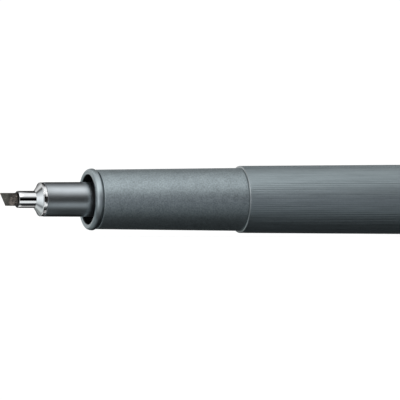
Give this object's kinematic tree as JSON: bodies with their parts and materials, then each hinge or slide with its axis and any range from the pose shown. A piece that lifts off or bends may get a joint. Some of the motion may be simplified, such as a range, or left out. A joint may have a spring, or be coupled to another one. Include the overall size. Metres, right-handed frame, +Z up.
{
  "type": "fineliner pen",
  "caption": "Fineliner pen with a slanted chisel nib in a chromed sleeve, matte grip, finely ribbed grey barrel and a clipped cap posted on the tail.",
  "frame": {"origin": "middle of the pen's footprint on the table, with the cap posted", "axes": "X along the pen, nib towards -X and the cap's closed end towards +X; +Z up from the table; the clip leans on the table on the -Y side"},
  "size_m": [0.1676, 0.0138, 0.0117],
  "materials": {
    "nib_fibre": "matte",
    "tip_chrome": "polished",
    "holder_gloss": "gloss",
    "grip_grey": "matte",
    "barrel_grey": "satin",
    "ink_core": "matte",
    "core_film": "gloss",
    "plug_grey": "satin",
    "cap_grey": "satin",
    "liner_white": "matte",
    "cap_top_dark": "satin",
    "clip_steel": "satin"
  },
  "bodies": {
    "pen": {"barrel": "barrel_grey", "grip_section": "grip_grey", "nib_holder": "holder_gloss", "tip_sleeve": "tip_chrome", "nib": "nib_fibre", "reservoir_core": "ink_core", "reservoir_film": "core_film", "tail_plug": "plug_grey"},
    "cap": {"cap_shell": "cap_grey", "cap_liner": "liner_white", "cap_top": "cap_top_dark"},
    "clip": {"cap_clip": "clip_steel"}
  },
  "joints": [
    {"name": "cap_pull", "type": "slide", "parent": "pen", "child": "cap", "axis": [1, 0, 0], "range_m": [0, 0.03]},
    {"name": "clip_flex", "type": "hinge", "parent": "cap", "child": "clip", "pos_m": [0.0818, -0.00407, 0.0027], "axis": [0, -0.5215, 0.8533], "range_deg": [0, 4], "stiffness_Nm_per_rad": 0.05, "springref_deg": -1.15}
  ]
}
